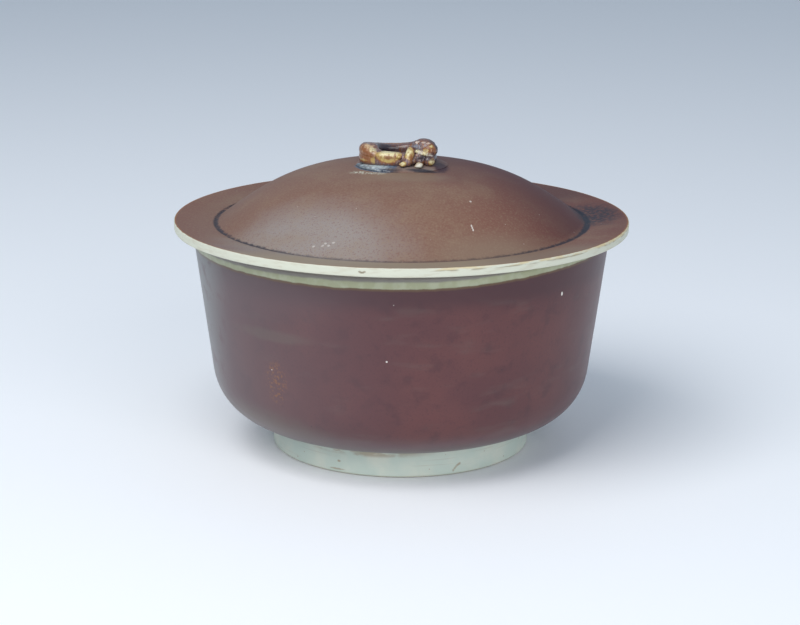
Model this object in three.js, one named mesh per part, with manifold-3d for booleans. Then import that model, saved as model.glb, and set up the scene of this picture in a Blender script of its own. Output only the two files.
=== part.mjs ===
// Covered bowl in glazed stoneware: a thrown bowl on a luted foot ring, and a loose lid with a wide brim,
// a locating collar and a knob modelled as a curled beast.
// Millimetres, +Z up. The origin is the centre of the circle that the foot ring stands on; -Y is the front.

import * as THREE from "three";
import { mergeVertices } from "three/addons/utils/BufferGeometryUtils.js";
import Module from "manifold-3d";

const wasm = await Module();
wasm.setup();

// Joints between clay pieces
const SLIP_JOINT = 0.3; // layer of slip between two luted pieces
const LID_REST_GAP = 0.3; // lid brim above the lip when the lid is on
const COLLAR_PLAY = 1.4; // collar inside the mouth, all round

// Foot ring
const FOOT_RADIUS = 51.8;
const FOOT_HEIGHT = 10.8;
const FOOT_WIDTH = 4.8;
const FOOT_TAPER = 1; // the ring grows wider on its inside, towards the bowl
const FOOT_EDGE = 0.8; // turned bevels of the standing edge

// Bowl
const TURN_RADIUS = 75.9; // outside of the wall where it starts to curve under
const TURN_HEIGHT = 32.4;
const WALL_FLARE = 7; // the straight wall leans out this much on its way up to the lip
const LIP_HEIGHT = 87.8;
const LIP_WALL = 3.6;
const TURN_WALL = 4.6;
const BELLY_FALL = 16.5; // how far the curve keeps the line of the wall
const BELLY_RUN = 6; // how far it keeps the level of the underside
const FLOOR_THICKNESS = 4.3;
const FLOOR_RUN = 26; // how far the inside curve keeps the level of the floor
const FLOOR_RADIUS = 34; // flat middle of the floor

// Lid
const BRIM_OVERHANG = 7.6; // brim past the lip
const BRIM_THICKNESS = 3.7; // at its edge
const BRIM_DIP = 1.5; // the top of the brim falls this much from its edge to the groove
const BRIM_LIFT = 1; // its underside rises this much from the collar to the edge
const BRIM_ROUND = 0.6; // rounding of the brim's edge
const GROOVE_WIDTH = 1.6;
const GROOVE_DEPTH = 0.5;
const DOME_RISE = 22.9; // crown above the groove
const DOME_WALL = 3.6;
const CROWN_REACH = 34.4; // how far the dome keeps the level of its crown
const SHOULDER_REACH = 31.7; // how far it keeps the slope of its foot
const SHOULDER_SLOPE = 37.6; // degrees
const COLLAR_WIDTH = 4;
const COLLAR_DEPTH = 7;
const COLLAR_BEVEL = 0.9;

// Knob pad
const PAD_RADIUS = 18.6;
const PAD_TOP_RADIUS = 16.9;
const PAD_HEIGHT = 1.4; // above the crown
const PAD_EDGE = 0.35; // thickness of its feathered edge

// Curled beast: its back, rump and chest follow an oval coil, and the other parts are placed along the oval.
// Angles are in degrees from the right end of the oval, turning left round the back.
const COIL_OFFSET = -1.2; // middle of the oval, left of the lid's centre
const COIL_HALF_LENGTH = 11.9;
const COIL_HALF_DEPTH = 9.1;
const BACK_HALF_WIDTH = 3.3;
const BACK_HEIGHT = 4.5;
const RUMP_SWELL = 0.8; // rump wider than the back
const RUMP_RISE = 2.1;
const RUMP_ANGLE = 188;
const RUMP_SPREAD = 50; // degrees over which the rump falls to the back
const RUMP_FALL = 24; // degrees over which it falls to the hind leg
const NECK_RISE = 2.2; // neck higher than the back
const NECK_ANGLE = 35;
const NECK_SPREAD = 30; // degrees over which the neck falls on both sides
const CHEST_ANGLE = -84;
const FLANK_ANGLE = 232; // crease between the rump and the hind leg
const END_ROUND = 11; // degrees over which a part of the coil is rounded off at its ends
const SPINE_SHARPNESS = 0.6; // below 1 gives upright flanks and a flatter back

const FAR_ELBOW_ANGLE = -40;
const FAR_ELBOW_REACH = 4.2;
const FAR_ELBOW_HEIGHT = 0.7;
const FAR_ELBOW_RADIUS = 2.3;

const THIGH_TUCK = 6; // degrees that the thigh reaches in under the flank
const HIND_LEG_SWEEP = 52;
const THIGH_HALF_WIDTH = 3.5;
const THIGH_HEIGHT = 4.4;
const HOCK_HALF_WIDTH = 2.3;
const HOCK_HEIGHT = 4.2;

const SHOULDER_ANGLE = -65;
const SHOULDER_HEIGHT = 4.4;
const SHOULDER_RADIUS = 2;
const ELBOW_ANGLE = -72;
const ELBOW_REACH = 2.6; // elbow out from the oval
const ELBOW_HEIGHT = 3.6;
const WRIST_ANGLE = -76;
const WRIST_REACH = 3.4;
const WRIST_HEIGHT = 0.6;
const WRIST_RADIUS = 1.75;
const PAW_ANGLE = -83;
const PAW_REACH = 4;
const PAW_HEIGHT = 0.3;
const PAW_HALF_LENGTH = 1.9;
const PAW_HALF_WIDTH = 1.4;
const PAW_HALF_HEIGHT = 1.2;
const PAW_FACING = 205; // degrees from +X that the near paw points to

const FAR_PAW_ANGLE = -60;
const FAR_PAW_REACH = 4.9;
const FAR_PAW_HEIGHT = 0;
const FAR_PAW_HALF_LENGTH = 2.1;
const FAR_PAW_HALF_WIDTH = 1.7;
const FAR_PAW_HALF_HEIGHT = 0.9;
const FAR_PAW_FACING = 255;

const HEAD_ANGLE = -33;
const HEAD_HEIGHT = 5.2; // middle of the skull above the pad
const FACING = -133; // degrees from +X that the muzzle points to
const SKULL_HALF_WIDTH = 5.2;
const SKULL_HALF_LENGTH = 4.6;
const SKULL_HALF_HEIGHT = 3.8;
const MUZZLE_REACH = 3.7;
const MUZZLE_RISE = 0.6;
const MUZZLE_HALF_WIDTH = 1.9;
const MUZZLE_HALF_HEIGHT = 1.5;
const MUZZLE_HALF_LENGTH = 2.2;
const CHEEK_REACH = 2.9; // cheeks and upper lips beside the muzzle
const CHEEK_SPREAD = 2.2;
const CHEEK_DROP = 1.4;
const CHEEK_HALF_LENGTH = 2.6;
const CHEEK_HALF_WIDTH = 1.6;
const CHEEK_HALF_HEIGHT = 0.9;
const JAW_REACH = 2.6;
const JAW_DROP = 3.4;
const JAW_HALF_WIDTH = 2.3;
const JAW_HALF_HEIGHT = 1;
const JAW_HALF_LENGTH = 2.4;
const BROW_RADIUS = 1;
const BROW_SPREAD = 2;
const BROW_REACH = 2.6;
const BROW_RISE = 2.2;
const EAR_SPREAD = 2.6;
const EAR_REACH = 0.9;
const EAR_RISE = 1.3;
const EAR_HALF_LENGTH = 2.2;
const EAR_HALF_WIDTH = 2.1;
const EAR_HALF_HEIGHT = 1.5;
const CURL_SPREAD = 4; // curls of the mane beside the cheeks
const CURL_SET_BACK = 0.7;
const CURL_DROP = 0.4;
const CURL_HALF_LENGTH = 2.3;
const CURL_HALF_WIDTH = 1.8;
const CURL_HALF_HEIGHT = 2.2;

// Facets
const ROUND_STEPS = 60;
const CURVE_STEPS = 10;
const EDGE_STEPS = 3;
const COIL_STEPS = 26;
const LEG_STEPS = 9;
const SECTION_STEPS = 10;
const BALL_STEPS = 16;
const END_STUB = 0.3; // share of its section that a rounded end keeps
const LIMB_FULLNESS = 6; // power of the curve that rounds a limb's ends
const SAME_POINT = 1e-5; // points closer than this are one

// Radii and heights worked out from the sizes above
const bowlSeat = FOOT_HEIGHT + SLIP_JOINT;
const floorHeight = bowlSeat + FLOOR_THICKNESS;
const lipRadius = TURN_RADIUS + WALL_FLARE;
const mouthRadius = lipRadius - LIP_WALL;
const collarRadius = mouthRadius - COLLAR_PLAY;
const grooveRadius = collarRadius - COLLAR_WIDTH;
const lidRadius = lipRadius + BRIM_OVERHANG;
const lipMiddle = lipRadius - LIP_WALL / 2;
const brimSlope = BRIM_LIFT / (lidRadius - collarRadius);
const collarSeat = LIP_HEIGHT + LID_REST_GAP - (lipMiddle - collarRadius) * brimSlope;
const brimUnder = collarSeat + BRIM_LIFT;
const brimTop = brimUnder + BRIM_THICKNESS;
const grooveHeight = brimTop - BRIM_DIP;
const crownHeight = grooveHeight + DOME_RISE;
const padTop = crownHeight + PAD_HEIGHT;

const degrees = THREE.MathUtils.degToRad;
const point = (radius, height) => new THREE.Vector2(radius, height);

function curvePoints(start, startHandle, endHandle, end) {
  return new THREE.CubicBezierCurve(start, startHandle, endHandle, end).getPoints(CURVE_STEPS);
}

// Quarter-round from one angle to another about a centre, in degrees
function arcPoints(centre, radius, from, to) {
  const start = degrees(from);
  const end = degrees(to);
  return new THREE.EllipseCurve(centre.x, centre.y, radius, radius, start, end).getPoints(EDGE_STEPS);
}

function turned(profile) {
  return new THREE.LatheGeometry(profile, ROUND_STEPS).rotateX(Math.PI / 2);
}

// Outside of the dome from its foot to a point on the axis, moved in along its normal by a wall's thickness
function domeCurve(inset) {
  const slope = degrees(SHOULDER_SLOPE);
  const foot = point(
    grooveRadius - GROOVE_WIDTH / 2 - inset * Math.sin(slope),
    grooveHeight - inset * Math.cos(slope),
  );
  const rise = point(-Math.cos(slope), Math.sin(slope));
  const shoulder = foot.clone().addScaledVector(rise, SHOULDER_REACH);
  const crown = point(0, crownHeight - inset);
  return new THREE.CubicBezierCurve(foot, shoulder, point(CROWN_REACH, crown.y), crown);
}

// Height of the dome's outside at a radius, found by halving along its curve
function domeHeight(radius) {
  const curve = domeCurve(0);
  let low = 0;
  let high = 1;
  while (high - low > SAME_POINT) {
    const middle = (low + high) / 2;
    if (curve.getPoint(middle).x > radius) low = middle;
    else high = middle;
  }
  return curve.getPoint(low).y;
}

function solidOf(geometry) {
  const plain = geometry.clone();
  plain.deleteAttribute("normal");
  plain.deleteAttribute("uv");
  const merged = mergeVertices(plain, SAME_POINT);
  return new wasm.Manifold(new wasm.Mesh({
    numProp: 3,
    vertProperties: new Float32Array(merged.attributes.position.array),
    triVerts: new Uint32Array(merged.index.array),
  }));
}

function geometryOf(solid) {
  const mesh = solid.getMesh();
  const geometry = new THREE.BufferGeometry();
  geometry.setAttribute("position", new THREE.BufferAttribute(mesh.vertProperties, mesh.numProp));
  geometry.setIndex(new THREE.BufferAttribute(mesh.triVerts, 1));
  geometry.computeVertexNormals();
  return geometry;
}

// Closed skin over a row of like sections, with a fan at each end
function loft(sections) {
  const count = sections[0].length;
  const positions = sections.flat();
  const faces = [];
  for (let row = 0; row + 1 < sections.length; row += 1) {
    for (let i = 0; i < count; i += 1) {
      const a = row * count + i;
      const b = row * count + (i + 1) % count;
      faces.push(a, a + count, b, b, a + count, b + count);
    }
  }
  const last = (sections.length - 1) * count;
  for (let i = 1; i + 1 < count; i += 1) {
    faces.push(0, i, i + 1, last, last + i + 1, last + i);
  }
  const geometry = new THREE.BufferGeometry().setFromPoints(positions);
  geometry.setIndex(faces);
  return geometry;
}

// Point beside the beast's oval: an angle along it, a distance out from it and a height above the pad
function besideCoil(angle, out, height) {
  const turn = degrees(angle);
  const right = Math.cos(turn);
  const back = Math.sin(turn);
  const outward = new THREE.Vector2(right / COIL_HALF_LENGTH, back / COIL_HALF_DEPTH).normalize();
  return new THREE.Vector3(
    COIL_OFFSET + COIL_HALF_LENGTH * right + outward.x * out,
    COIL_HALF_DEPTH * back + outward.y * out,
    padTop + SLIP_JOINT + height,
  );
}

// Arched section across the oval, flat underneath
function coilSection(angle, halfWidth, height) {
  const section = [];
  for (let i = 0; i <= SECTION_STEPS; i += 1) {
    const turn = Math.PI * i / SECTION_STEPS;
    const rise = Math.max(Math.sin(turn), 0) ** SPINE_SHARPNESS;
    section.push(besideCoil(angle, halfWidth * Math.cos(turn), height * rise));
  }
  return section;
}

function ball(centre, halfX, halfY, halfZ, facing = 0) {
  const geometry = new THREE.SphereGeometry(1, BALL_STEPS, BALL_STEPS / 2).rotateX(Math.PI / 2);
  geometry.scale(halfX, halfY, halfZ).rotateZ(degrees(facing)).translate(centre.x, centre.y, centre.z);
  return solidOf(geometry);
}

// Everything below the bed that the beast's parts are set on
function underBeast() {
  const block = new THREE.BoxGeometry(2 * lidRadius, 2 * lidRadius, padTop);
  block.translate(0, 0, padTop / 2 + SLIP_JOINT);
  return solidOf(block);
}

function footRing() {
  const inside = FOOT_RADIUS - FOOT_WIDTH;
  return turned([
    point(inside - FOOT_TAPER, FOOT_HEIGHT),
    point(inside, FOOT_EDGE),
    point(inside + FOOT_EDGE, 0),
    point(FOOT_RADIUS - FOOT_EDGE, 0),
    point(FOOT_RADIUS, FOOT_EDGE),
    point(FOOT_RADIUS, FOOT_HEIGHT),
    point(inside - FOOT_TAPER, FOOT_HEIGHT),
  ]);
}

function bowlBody() {
  const footJoint = point(FOOT_RADIUS, bowlSeat);
  const turn = point(TURN_RADIUS, TURN_HEIGHT);
  const wall = point(WALL_FLARE, LIP_HEIGHT - TURN_HEIGHT).normalize();
  const outside = curvePoints(
    footJoint,
    point(footJoint.x + BELLY_RUN, footJoint.y),
    turn.clone().addScaledVector(wall, -BELLY_FALL),
    turn,
  );
  const insideTurn = point(TURN_RADIUS - TURN_WALL, TURN_HEIGHT);
  const inside = curvePoints(
    insideTurn,
    insideTurn.clone().addScaledVector(wall, -BELLY_FALL),
    point(FLOOR_RADIUS + FLOOR_RUN, floorHeight),
    point(FLOOR_RADIUS, floorHeight),
  );
  const round = LIP_WALL / 2;
  const lip = arcPoints(point(lipMiddle, LIP_HEIGHT - round), round, 0, 90)
    .concat(arcPoints(point(lipMiddle, LIP_HEIGHT - round), round, 90, 180).slice(1));
  return turned([point(0, bowlSeat), ...outside, ...lip, ...inside, point(0, floorHeight)]);
}

function lidShell() {
  const outer = lidRadius - BRIM_ROUND;
  const underside = domeCurve(DOME_WALL).getPoints(CURVE_STEPS).reverse();
  return turned([
    ...underside,
    point(grooveRadius, collarSeat),
    point(collarRadius, collarSeat),
    ...arcPoints(point(outer, brimUnder + BRIM_ROUND), BRIM_ROUND, -90, 0),
    ...arcPoints(point(outer, brimTop - BRIM_ROUND), BRIM_ROUND, 0, 90),
    point(grooveRadius + GROOVE_WIDTH / 2, grooveHeight),
    point(grooveRadius, grooveHeight - GROOVE_DEPTH),
    ...domeCurve(0).getPoints(CURVE_STEPS),
  ]);
}

function lidCollar() {
  const top = collarSeat - SLIP_JOINT;
  const bottom = collarSeat - COLLAR_DEPTH;
  return turned([
    point(grooveRadius, top),
    point(grooveRadius, bottom),
    point(collarRadius - COLLAR_BEVEL, bottom),
    point(collarRadius, bottom + COLLAR_BEVEL),
    point(collarRadius, top),
    point(grooveRadius, top),
  ]);
}

function knobPad() {
  const underside = [];
  for (let i = 0; i <= EDGE_STEPS; i += 1) {
    const radius = PAD_RADIUS * i / EDGE_STEPS;
    underside.push(point(radius, domeHeight(radius) + SLIP_JOINT));
  }
  const edge = underside[EDGE_STEPS].y + PAD_EDGE;
  const slope = new THREE.QuadraticBezierCurve(
    point(PAD_RADIUS, edge),
    point((PAD_RADIUS + PAD_TOP_RADIUS) / 2, padTop),
    point(PAD_TOP_RADIUS, padTop),
  );
  return turned([...underside, ...slope.getPoints(EDGE_STEPS), point(0, padTop)]);
}

// Rounding of a coil part's section near the ends of its sweep
function endRound(angle, from, to) {
  const inside = Math.min(angle - from, to - angle, END_ROUND) / END_ROUND;
  return Math.max(Math.sqrt(1 - (1 - inside) ** 2), END_STUB);
}

// Part of the coil between two angles, with sections closer together towards its ends
function coilPart(from, to, steps, halfWidthAt, heightAt) {
  const sections = [];
  for (let i = 0; i <= steps; i += 1) {
    const angle = THREE.MathUtils.lerp(from, to, (1 - Math.cos(Math.PI * i / steps)) / 2);
    const round = endRound(angle, from, to);
    sections.push(coilSection(angle, halfWidthAt(angle) * round, heightAt(angle) * round));
  }
  return solidOf(loft(sections));
}

// Chest, neck, back, rump and far elbow; growing them leaves room for the slip joint
function trunk(grow) {
  const rump = (angle) => {
    const spread = angle < RUMP_ANGLE ? RUMP_SPREAD : RUMP_FALL;
    return Math.exp(-(((angle - RUMP_ANGLE) / spread) ** 2));
  };
  const neck = (angle) => Math.exp(-(((angle - NECK_ANGLE) / NECK_SPREAD) ** 2));
  const coil = coilPart(
    CHEST_ANGLE,
    FLANK_ANGLE,
    COIL_STEPS,
    (angle) => BACK_HALF_WIDTH + RUMP_SWELL * rump(angle) + grow,
    (angle) => BACK_HEIGHT + RUMP_RISE * rump(angle) + NECK_RISE * neck(angle) + grow,
  );
  const elbow = besideCoil(FAR_ELBOW_ANGLE, FAR_ELBOW_REACH, FAR_ELBOW_HEIGHT);
  const radius = FAR_ELBOW_RADIUS + grow;
  return coil.add(ball(elbow, radius, radius, radius));
}

function hindLeg() {
  const hip = FLANK_ANGLE - THIGH_TUCK;
  const along = (angle) => THREE.MathUtils.smoothstep(angle, hip, hip + HIND_LEG_SWEEP);
  return coilPart(
    hip,
    hip + HIND_LEG_SWEEP,
    LEG_STEPS,
    (angle) => THREE.MathUtils.lerp(THIGH_HALF_WIDTH, HOCK_HALF_WIDTH, along(angle)),
    (angle) => THREE.MathUtils.lerp(THIGH_HEIGHT, HOCK_HEIGHT, along(angle)),
  );
}

// The near foreleg, from the shoulder over the elbow to the wrist; growing it leaves room for the slip joint
function foreLeg(grow) {
  const path = new THREE.QuadraticBezierCurve3(
    besideCoil(SHOULDER_ANGLE, 0, SHOULDER_HEIGHT),
    besideCoil(ELBOW_ANGLE, ELBOW_REACH, ELBOW_HEIGHT),
    besideCoil(WRIST_ANGLE, WRIST_REACH, WRIST_HEIGHT),
  );
  const frames = path.computeFrenetFrames(LEG_STEPS);
  const sections = [];
  for (let step = 0; step <= LEG_STEPS; step += 1) {
    const along = step / LEG_STEPS;
    const round = Math.max(Math.sqrt(1 - (2 * along - 1) ** LIMB_FULLNESS), END_STUB);
    const radius = THREE.MathUtils.lerp(SHOULDER_RADIUS, WRIST_RADIUS, along) * round + grow;
    const centre = path.getPointAt(along);
    if (step === 0) centre.addScaledVector(frames.tangents[step], -grow);
    if (step === LEG_STEPS) centre.addScaledVector(frames.tangents[step], grow);
    const section = [];
    for (let i = 0; i < SECTION_STEPS; i += 1) {
      const turn = 2 * Math.PI * i / SECTION_STEPS;
      section.push(centre.clone()
        .addScaledVector(frames.normals[step], radius * Math.cos(turn))
        .addScaledVector(frames.binormals[step], -radius * Math.sin(turn)));
    }
    sections.push(section);
  }
  const place = besideCoil(PAW_ANGLE, PAW_REACH, PAW_HEIGHT);
  const halfLength = PAW_HALF_LENGTH + grow;
  const paw = ball(place, halfLength, PAW_HALF_WIDTH + grow, PAW_HALF_HEIGHT + grow, PAW_FACING);
  return solidOf(loft(sections)).add(paw);
}

function farPaw() {
  const place = besideCoil(FAR_PAW_ANGLE, FAR_PAW_REACH, FAR_PAW_HEIGHT);
  return ball(place, FAR_PAW_HALF_LENGTH, FAR_PAW_HALF_WIDTH, FAR_PAW_HALF_HEIGHT, FAR_PAW_FACING);
}

// Skull, muzzle, cheeks, jaw, brows, ears and mane in one lump; growing it leaves room for the slip joint
function head(grow) {
  const skull = besideCoil(HEAD_ANGLE, 0, HEAD_HEIGHT);
  const ahead = new THREE.Vector3(Math.cos(degrees(FACING)), Math.sin(degrees(FACING)), 0);
  const aside = new THREE.Vector3(-ahead.y, ahead.x, 0);
  const lump = (forward, side, rise, halfLength, halfWidth, halfHeight) => {
    const centre = skull.clone().addScaledVector(ahead, forward).addScaledVector(aside, side);
    centre.z += rise;
    return ball(centre, halfLength + grow, halfWidth + grow, halfHeight + grow, FACING);
  };
  let shape = lump(0, 0, 0, SKULL_HALF_LENGTH, SKULL_HALF_WIDTH, SKULL_HALF_HEIGHT);
  shape = shape.add(
    lump(MUZZLE_REACH, 0, MUZZLE_RISE, MUZZLE_HALF_LENGTH, MUZZLE_HALF_WIDTH, MUZZLE_HALF_HEIGHT),
  );
  shape = shape.add(lump(JAW_REACH, 0, -JAW_DROP, JAW_HALF_LENGTH, JAW_HALF_WIDTH, JAW_HALF_HEIGHT));
  for (const side of [-1, 1]) {
    const cheek = side * CHEEK_SPREAD;
    const brow = side * BROW_SPREAD;
    const ear = side * EAR_SPREAD;
    const curl = side * CURL_SPREAD;
    shape = shape.add(
      lump(CHEEK_REACH, cheek, -CHEEK_DROP, CHEEK_HALF_LENGTH, CHEEK_HALF_WIDTH, CHEEK_HALF_HEIGHT),
    );
    shape = shape.add(lump(BROW_REACH, brow, BROW_RISE, BROW_RADIUS, BROW_RADIUS, BROW_RADIUS));
    shape = shape.add(
      lump(EAR_REACH, ear, EAR_RISE, EAR_HALF_LENGTH, EAR_HALF_WIDTH, EAR_HALF_HEIGHT),
    );
    shape = shape.add(
      lump(-CURL_SET_BACK, curl, -CURL_DROP, CURL_HALF_LENGTH, CURL_HALF_WIDTH, CURL_HALF_HEIGHT),
    );
  }
  return shape;
}

function beast() {
  const headRoom = head(SLIP_JOINT);
  const legRoom = foreLeg(SLIP_JOINT);
  const trunkRoom = trunk(SLIP_JOINT);
  const bed = underBeast();
  return {
    knob_body: trunk(0).subtract(headRoom).subtract(legRoom).subtract(bed),
    knob_hind_leg: hindLeg().subtract(trunkRoom).subtract(legRoom),
    knob_fore_leg: foreLeg(0).subtract(headRoom).subtract(bed),
    knob_far_paw: farPaw().subtract(trunkRoom).subtract(headRoom).subtract(legRoom).subtract(bed),
    knob_head: head(0).subtract(bed),
  };
}

function glaze(color, roughness) {
  return new THREE.MeshStandardMaterial({ color, roughness, metalness: 0 });
}

function piece(name, geometry, material) {
  const mesh = new THREE.Mesh(geometry, material);
  mesh.name = name;
  return mesh;
}

const bowl = new THREE.Group();
bowl.add(piece("foot_ring", footRing(), glaze("#c6cdc4", 0.7)));
bowl.add(piece("bowl_body", bowlBody(), glaze("#6e4b4d", 0.35)));

const lid = new THREE.Group();
lid.add(piece("lid_shell", lidShell(), glaze("#7e645d", 0.45)));
lid.add(piece("lid_collar", lidCollar(), glaze("#dfe2d8", 0.7)));
lid.add(piece("knob_pad", knobPad(), glaze("#8f9ba3", 0.25)));
for (const [name, solid] of Object.entries(beast())) {
  lid.add(piece(name, geometryOf(solid), glaze("#a3774a", 0.4)));
}

const coveredBowl = new THREE.Group();
coveredBowl.add(bowl, lid);

export default coveredBowl;
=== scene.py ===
# Covered bowl: a red-brown bowl on a bare foot ring, under a brown lid whose knob is a curled beast.
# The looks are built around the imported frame: metres, +Z up, and -Y is the front.
import math

import bpy
from mathutils import Matrix, Vector
from mathutils.geometry import interpolate_bezier


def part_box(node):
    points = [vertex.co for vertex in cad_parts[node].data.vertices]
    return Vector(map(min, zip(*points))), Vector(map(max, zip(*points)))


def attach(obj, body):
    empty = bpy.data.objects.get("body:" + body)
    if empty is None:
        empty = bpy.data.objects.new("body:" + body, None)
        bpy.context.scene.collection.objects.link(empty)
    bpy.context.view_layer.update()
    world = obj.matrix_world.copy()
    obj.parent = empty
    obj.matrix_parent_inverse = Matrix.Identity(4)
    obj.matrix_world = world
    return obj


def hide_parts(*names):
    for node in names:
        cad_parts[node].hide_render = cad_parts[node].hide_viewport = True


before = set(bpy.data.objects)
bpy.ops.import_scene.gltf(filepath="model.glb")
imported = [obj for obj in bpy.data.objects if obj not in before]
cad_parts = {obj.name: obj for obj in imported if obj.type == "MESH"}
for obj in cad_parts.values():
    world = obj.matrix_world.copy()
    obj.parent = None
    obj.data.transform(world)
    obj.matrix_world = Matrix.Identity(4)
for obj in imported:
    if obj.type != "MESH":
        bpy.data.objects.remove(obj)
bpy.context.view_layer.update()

MM = 0.001  # every size below is in millimetres


def low(node):
    """Lowest corner of a node of the frame, in millimetres."""
    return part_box(node)[0] / MM


def high(node):
    """Highest corner of a node of the frame, in millimetres."""
    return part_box(node)[1] / MM


# Sizes that the frame gives
FOOT_RADIUS = high("foot_ring").x
BOWL_SEAT = low("bowl_body").z
LIP_RADIUS = high("bowl_body").x
LIP_HEIGHT = high("bowl_body").z
LID_RADIUS = high("lid_shell").x
LID_SEAT = low("lid_shell").z
CROWN_HEIGHT = high("lid_shell").z
COLLAR_RADIUS = high("lid_collar").x
COLLAR_FOOT = low("lid_collar").z
PAD_RADIUS = high("knob_pad").x
PAD_TOP = high("knob_pad").z
BEAST_BED = low("knob_body").z

# Foot ring and bowl
FOOT_WIDTH = 4.8
FOOT_TAPER = 1
FOOT_EDGE = 0.9
GLAZE_ROLL = 0.55  # bead where the glaze stops above the foot
TURN_RADIUS = 75.9
TURN_HEIGHT = 32.4
LIP_WALL = 3.6
TURN_WALL = 4.6
BELLY_FALL = 16.5
BELLY_RUN = 6
FLOOR_THICKNESS = 4.3
FLOOR_RUN = 26
FLOOR_RADIUS = 34
THROW_DEPTH = 0.09  # rings that the fingers leave inside
THROW_PITCH = 4.2
LIP_BAND = 5.4  # height of the lip that the glaze has run off
BASE_DEPTH = 1  # below this height over the seat, only what lies inside the inset is lined
BASE_INSET = 0.5

# Lid and pad
BRIM_THICKNESS = 3.7
BRIM_DIP = 1.5
BRIM_LIFT = 1
BRIM_ROUND = 0.6
EDGE_BAND = 0.55  # width of the bare clay along the edge of the brim
GROOVE_WIDTH = 1.6
GROOVE_DEPTH = 0.5
DOME_WALL = 3.6
CROWN_REACH = 34.4
SHOULDER_REACH = 31.7
SHOULDER_SLOPE = math.radians(37.6)
COLLAR_WIDTH = 4
COLLAR_BEVEL = 0.9
PAD_EDGE = 0.05
PAD_RUN = 2.2
PAD_RISE = 0.9
PAD_SHOULDER = 13
ROLL_BEGIN = 182  # degrees along the pad's edge, between which pooled glaze has rolled up
ROLL_END = 262
ROLL_TAPER = 8
ROLL_INSET = 1.4
ROLL_RISE = 0.35
SUNK = 0.2  # how far a luted piece reaches into its neighbour
PAW_SINK = 1.8  # how far the beast reaches into its pad

# Beast: places are an angle along an oval from its right end round the back, a distance out and a height
COIL_OFFSET = -1.2
COIL_HALF_LENGTH = 11.9
COIL_HALF_DEPTH = 9.1
BACK_HALF_WIDTH = 3.3
BACK_HEIGHT = 4.5
RUMP_SWELL = 0.8
RUMP_RISE = 2.1
RUMP_ANGLE = 188
RUMP_SPREAD = 50  # degrees towards the back
RUMP_FALL = 24  # degrees towards the hind leg
CHEST_ANGLE = -62
NECK_RISE = 2.2
NECK_ANGLE = 35
NECK_SPREAD = 30
FLANK_ANGLE = 232
HIP_ANGLE = 226
HOCK_ANGLE = 278
THIGH_HALF_WIDTH = 3.5
THIGH_HEIGHT = 4.4
HOCK_HALF_WIDTH = 2.3
HOCK_HEIGHT = 4.2
SLICE_HALF_LENGTH = 2.4
# Shares of a slice's width or height, for each lump in it: way out, rise, half width, half height
SLICE_LUMPS = ((0, 0.1, 1.02, 0.65), (-0.34, 0.55, 0.66, 0.45), (0.34, 0.55, 0.66, 0.45))
END_SECTION = 0.05  # least share of its section that the end of a coil keeps, squared
HEAD_ANGLE = -33
HEAD_HEIGHT = 5.2
FACING = -133  # degrees that the muzzle points to, from +X

# Heights and radii worked out from these
foot_top = BOWL_SEAT + SUNK
floor_height = BOWL_SEAT + FLOOR_THICKNESS
lip_round = LIP_WALL / 2
lip_middle = LIP_RADIUS - lip_round
brim_under = LID_SEAT + BRIM_LIFT
brim_top = brim_under + BRIM_THICKNESS
groove_radius = COLLAR_RADIUS - COLLAR_WIDTH
groove_height = brim_top - BRIM_DIP
wall_slope = (LIP_RADIUS - TURN_RADIUS) / (LIP_HEIGHT - TURN_HEIGHT)

# Fineness of the meshes
ROUND_STEPS = 200
CURVE_STEPS = 28
EDGE_STEPS = 8
WELD = 1e-6
LUMP_SEGMENTS = 24
LUMP_RINGS = 14


# Outlines

def point(radius, height):
    return Vector((radius, height))


def curve(start, start_handle, end_handle, end, steps=CURVE_STEPS):
    """Points of a smooth curve between two ends with a handle each."""
    return interpolate_bezier(start, start_handle, end_handle, end, steps)


def arc(centre, radius, begin, end, steps=EDGE_STEPS):
    """Points of an arc about a centre, from one angle to another in degrees."""
    turns = [math.radians(begin + (end - begin) * i / steps) for i in range(steps + 1)]
    return [centre + radius * point(math.cos(turn), math.sin(turn)) for turn in turns]


def line(start, end, steps):
    """Points of a straight stretch, without its first."""
    return [start.lerp(end, i / steps) for i in range(1, steps + 1)]


def thrown(points):
    """Adds the finger rings of the wheel to a stretch of an inside outline."""
    ringed = []
    travel = 0
    for before, here in zip([points[0]] + points, points):
        travel += (here - before).length
        wave = THROW_DEPTH * math.sin(2 * math.pi * travel / THROW_PITCH)
        ringed.append(here + point(wave, wave))
    return ringed


def ring_outline(inside, outside, foot, top, rounding, taper, steps):
    """Half outline of a luted ring: rounded below, and wider inwards at the top by a taper."""
    lower = arc(point(inside + rounding, foot + rounding), rounding, 180, 270)
    lower += arc(point(outside - rounding, foot + rounding), rounding, 270, 360)
    side = line(lower[-1], point(outside, top), steps)
    inner_top = point(inside - taper, top)
    return [inner_top] + lower + side + [inner_top]


def foot_outline():
    inside = FOOT_RADIUS - FOOT_WIDTH
    return ring_outline(inside, FOOT_RADIUS, 0, foot_top, FOOT_EDGE, FOOT_TAPER, EDGE_STEPS)


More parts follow.
